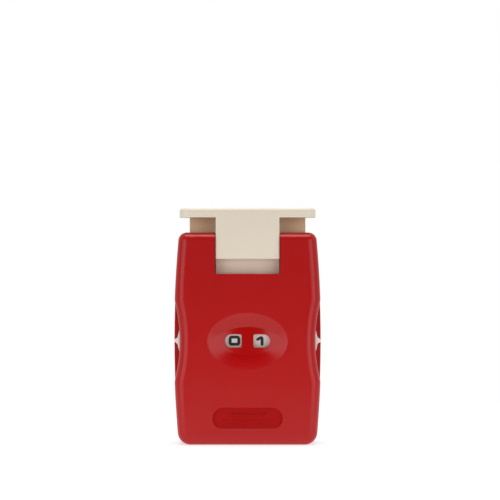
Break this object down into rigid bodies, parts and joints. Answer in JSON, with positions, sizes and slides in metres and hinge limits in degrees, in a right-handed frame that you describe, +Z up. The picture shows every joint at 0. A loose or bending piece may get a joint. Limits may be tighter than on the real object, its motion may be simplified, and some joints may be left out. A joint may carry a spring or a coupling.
{
  "type": "row counter",
  "caption": "Hand-held knitting row counter: flat case, wide top button that steps number discs behind windows, thumb-wheel edges at both sides and a slide lock on the back.",
  "frame": {"origin": "middle of the bottom edge that the case stands on", "axes": "+Z up towards the button, +X to the right, the face with the windows looks along -Y"},
  "size_m": [0.042, 0.015, 0.0674],
  "materials": {
    "red_case": "moulded, satin",
    "cream_button": "moulded, satin",
    "tan_slide": "moulded, satin",
    "white_disc": "moulded, satin, printed black digits",
    "natural_acetal": "moulded",
    "spring_steel": "drawn and rolled",
    "screw_steel": "zinc plated"
  },
  "bodies": {
    "case": {"front_case": "red_case", "back_cover": "red_case", "case_screws": "screw_steel", "tens_axle_pin": "screw_steel", "units_axle_pin": "screw_steel", "tens_click_spring": "spring_steel", "units_click_spring": "spring_steel", "return_spring": "spring_steel"},
    "button": {"button_cap": "cream_button", "slide_plate": "tan_slide", "drive_pawl": "spring_steel", "carry_pawl": "natural_acetal", "pawl_rivets": "screw_steel"},
    "units_drive": {"units_ratchet": "natural_acetal", "clutch_washer": "spring_steel"},
    "units_wheel": {"units_disc": "white_disc", "carry_cam": "natural_acetal"},
    "tens_wheel": {"tens_disc": "white_disc", "tens_ratchet": "natural_acetal"},
    "lock": {"lock_knob": "cream_button", "lock_bar": "natural_acetal"}
  },
  "joints": [
    {"name": "button_press", "type": "slide", "parent": "case", "child": "button", "axis": [0, 0, -1], "range_m": [0, 0.00415], "stiffness_N_per_m": 300, "springref_m": -0.006, "deforming": ["return_spring", "drive_pawl", "carry_pawl"]},
    {"name": "units_advance", "type": "hinge", "parent": "case", "child": "units_drive", "pos_m": [0.0108, 0, 0.0296], "axis": [0, -1, 0], "range_deg": [0, 36]},
    {"name": "units_turn", "type": "hinge", "parent": "units_drive", "child": "units_wheel", "pos_m": [0.0108, 0, 0.0296], "axis": [0, -1, 0], "continuous": true, "deforming": ["units_click_spring"]},
    {"name": "tens_turn", "type": "hinge", "parent": "case", "child": "tens_wheel", "pos_m": [-0.0108, 0, 0.0296], "axis": [0, 1, 0], "continuous": true, "deforming": ["tens_click_spring"]},
    {"name": "lock_slide", "type": "slide", "parent": "case", "child": "lock", "axis": [1, 0, 0], "range_m": [0, 0.004]}
  ],
  "couplings": [
    {"joint": "units_advance", "follows": "button_press", "rad_per_m": 151.4}
  ]
}
